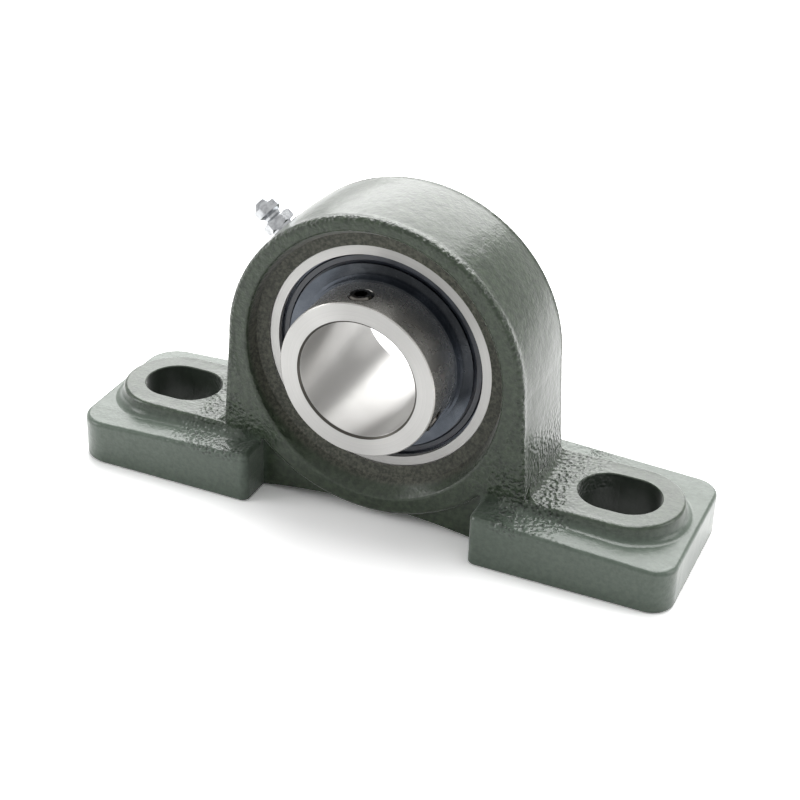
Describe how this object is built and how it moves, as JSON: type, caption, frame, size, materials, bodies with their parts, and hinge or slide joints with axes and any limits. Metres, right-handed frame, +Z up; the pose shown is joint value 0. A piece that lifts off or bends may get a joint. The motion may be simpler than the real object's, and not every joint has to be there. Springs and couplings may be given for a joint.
{
  "type": "pillow block bearing",
  "caption": "Two-bolt pillow block: painted cast housing with slotted feet round a sealed, self-aligning insert ball bearing with set screws and a grease nipple.",
  "frame": {"origin": "midway between the two bolt slots, on the plane the feet stand on", "axes": "+X runs along the base through both bolt slots, +Y runs along the shaft axis from the set-screw side to the plain side, +Z points up from the feet to the crown of the housing"},
  "size_m": [0.161, 0.045, 0.0815],
  "materials": {
    "housing_paint": "glossy dark grey-green paint on rough sand-cast grey iron",
    "ring_steel": "ground hardened bearing steel, satin",
    "ball_steel": "polished hardened bearing steel",
    "cage_steel": "pressed strip steel, plain",
    "seal_case_steel": "pressed sheet steel under bonded black rubber",
    "seal_rubber": "smooth moulded nitrile rubber, satin",
    "slinger_steel": "pressed sheet steel, black phosphated, semi-gloss",
    "screw_steel": "hardened steel, black oxide",
    "nipple_zinc": "bright zinc plate on steel",
    "spring_steel": "drawn spring wire"
  },
  "bodies": {
    "housing": {"housing": "housing_paint", "nipple_body": "nipple_zinc", "nipple_spring": "spring_steel"},
    "insert_outer": {"outer_ring": "ring_steel", "seal_case_front": "seal_case_steel", "seal_case_rear": "seal_case_steel", "seal_lip_front": "seal_rubber", "seal_lip_rear": "seal_rubber"},
    "shaft_ring": {"inner_ring": "ring_steel", "slinger_front": "slinger_steel", "slinger_rear": "slinger_steel"},
    "cage": {"cage_front": "cage_steel", "cage_rear": "cage_steel", "cage_rivets": "cage_steel"},
    "check_ball": {"nipple_check_ball": "ball_steel"},
    "screw_1": {"set_screw_1": "screw_steel"},
    "screw_2": {"set_screw_2": "screw_steel"},
    "rolling_ball_1": {"ball_1": "ball_steel"},
    "rolling_ball_2": {"ball_2": "ball_steel"},
    "rolling_ball_3": {"ball_3": "ball_steel"},
    "rolling_ball_4": {"ball_4": "ball_steel"},
    "rolling_ball_5": {"ball_5": "ball_steel"},
    "rolling_ball_6": {"ball_6": "ball_steel"},
    "rolling_ball_7": {"ball_7": "ball_steel"},
    "rolling_ball_8": {"ball_8": "ball_steel"},
    "rolling_ball_9": {"ball_9": "ball_steel"}
  },
  "joints": [
    {"name": "self_align_tilt", "type": "hinge", "parent": "housing", "child": "insert_outer", "pos_m": [0, 0, 0.0429], "axis": [1, 0, 0], "range_deg": [-2, 2]},
    {"name": "shaft_spin", "type": "hinge", "parent": "insert_outer", "child": "shaft_ring", "pos_m": [0, 0, 0.0429], "axis": [0, 1, 0], "continuous": true},
    {"name": "cage_spin", "type": "hinge", "parent": "insert_outer", "child": "cage", "pos_m": [0, 0, 0.0429], "axis": [0, 1, 0], "continuous": true},
    {"name": "ball_1_spin", "type": "hinge", "parent": "cage", "child": "rolling_ball_1", "pos_m": [0, 0, 0.0659], "axis": [0, 1, 0], "continuous": true},
    {"name": "ball_2_spin", "type": "hinge", "parent": "cage", "child": "rolling_ball_2", "pos_m": [-0.01478, 0, 0.06052], "axis": [0, 1, 0], "continuous": true},
    {"name": "ball_3_spin", "type": "hinge", "parent": "cage", "child": "rolling_ball_3", "pos_m": [-0.02265, 0, 0.04689], "axis": [0, 1, 0], "continuous": true},
    {"name": "ball_4_spin", "type": "hinge", "parent": "cage", "child": "rolling_ball_4", "pos_m": [-0.01992, 0, 0.0314], "axis": [0, 1, 0], "continuous": true},
    {"name": "ball_5_spin", "type": "hinge", "parent": "cage", "child": "rolling_ball_5", "pos_m": [-0.00787, 0, 0.02129], "axis": [0, 1, 0], "continuous": true},
    {"name": "ball_6_spin", "type": "hinge", "parent": "cage", "child": "rolling_ball_6", "pos_m": [0.00787, 0, 0.02129], "axis": [0, 1, 0], "continuous": true},
    {"name": "ball_7_spin", "type": "hinge", "parent": "cage", "child": "rolling_ball_7", "pos_m": [0.01992, 0, 0.0314], "axis": [0, 1, 0], "continuous": true},
    {"name": "ball_8_spin", "type": "hinge", "parent": "cage", "child": "rolling_ball_8", "pos_m": [0.02265, 0, 0.04689], "axis": [0, 1, 0], "continuous": true},
    {"name": "ball_9_spin", "type": "hinge", "parent": "cage", "child": "rolling_ball_9", "pos_m": [0.01478, 0, 0.06052], "axis": [0, 1, 0], "continuous": true},
    {"name": "set_screw_1_travel", "type": "slide", "parent": "shaft_ring", "child": "screw_1", "axis": [0.0698, 0, -0.9976], "range_m": [-0.003, 0.001]},
    {"name": "set_screw_2_travel", "type": "slide", "parent": "shaft_ring", "child": "screw_2", "axis": [-0.8988, 0, 0.4384], "range_m": [-0.003, 0.001]},
    {"name": "nipple_check_travel", "type": "slide", "parent": "housing", "child": "check_ball", "axis": [0.7431, 0, -0.6691], "range_m": [0, 0.0008], "stiffness_N_per_m": 300, "springref_m": -0.001, "deforming": ["nipple_spring"]}
  ],
  "couplings": [
    {"joint": "cage_spin", "follows": "shaft_spin", "ratio": 0.39647},
    {"joint": "ball_1_spin", "follows": "shaft_spin", "ratio": -2.3112},
    {"joint": "ball_2_spin", "follows": "shaft_spin", "ratio": -2.3112},
    {"joint": "ball_3_spin", "follows": "shaft_spin", "ratio": -2.3112},
    {"joint": "ball_4_spin", "follows": "shaft_spin", "ratio": -2.3112},
    {"joint": "ball_5_spin", "follows": "shaft_spin", "ratio": -2.3112},
    {"joint": "ball_6_spin", "follows": "shaft_spin", "ratio": -2.3112},
    {"joint": "ball_7_spin", "follows": "shaft_spin", "ratio": -2.3112},
    {"joint": "ball_8_spin", "follows": "shaft_spin", "ratio": -2.3112},
    {"joint": "ball_9_spin", "follows": "shaft_spin", "ratio": -2.3112}
  ]
}
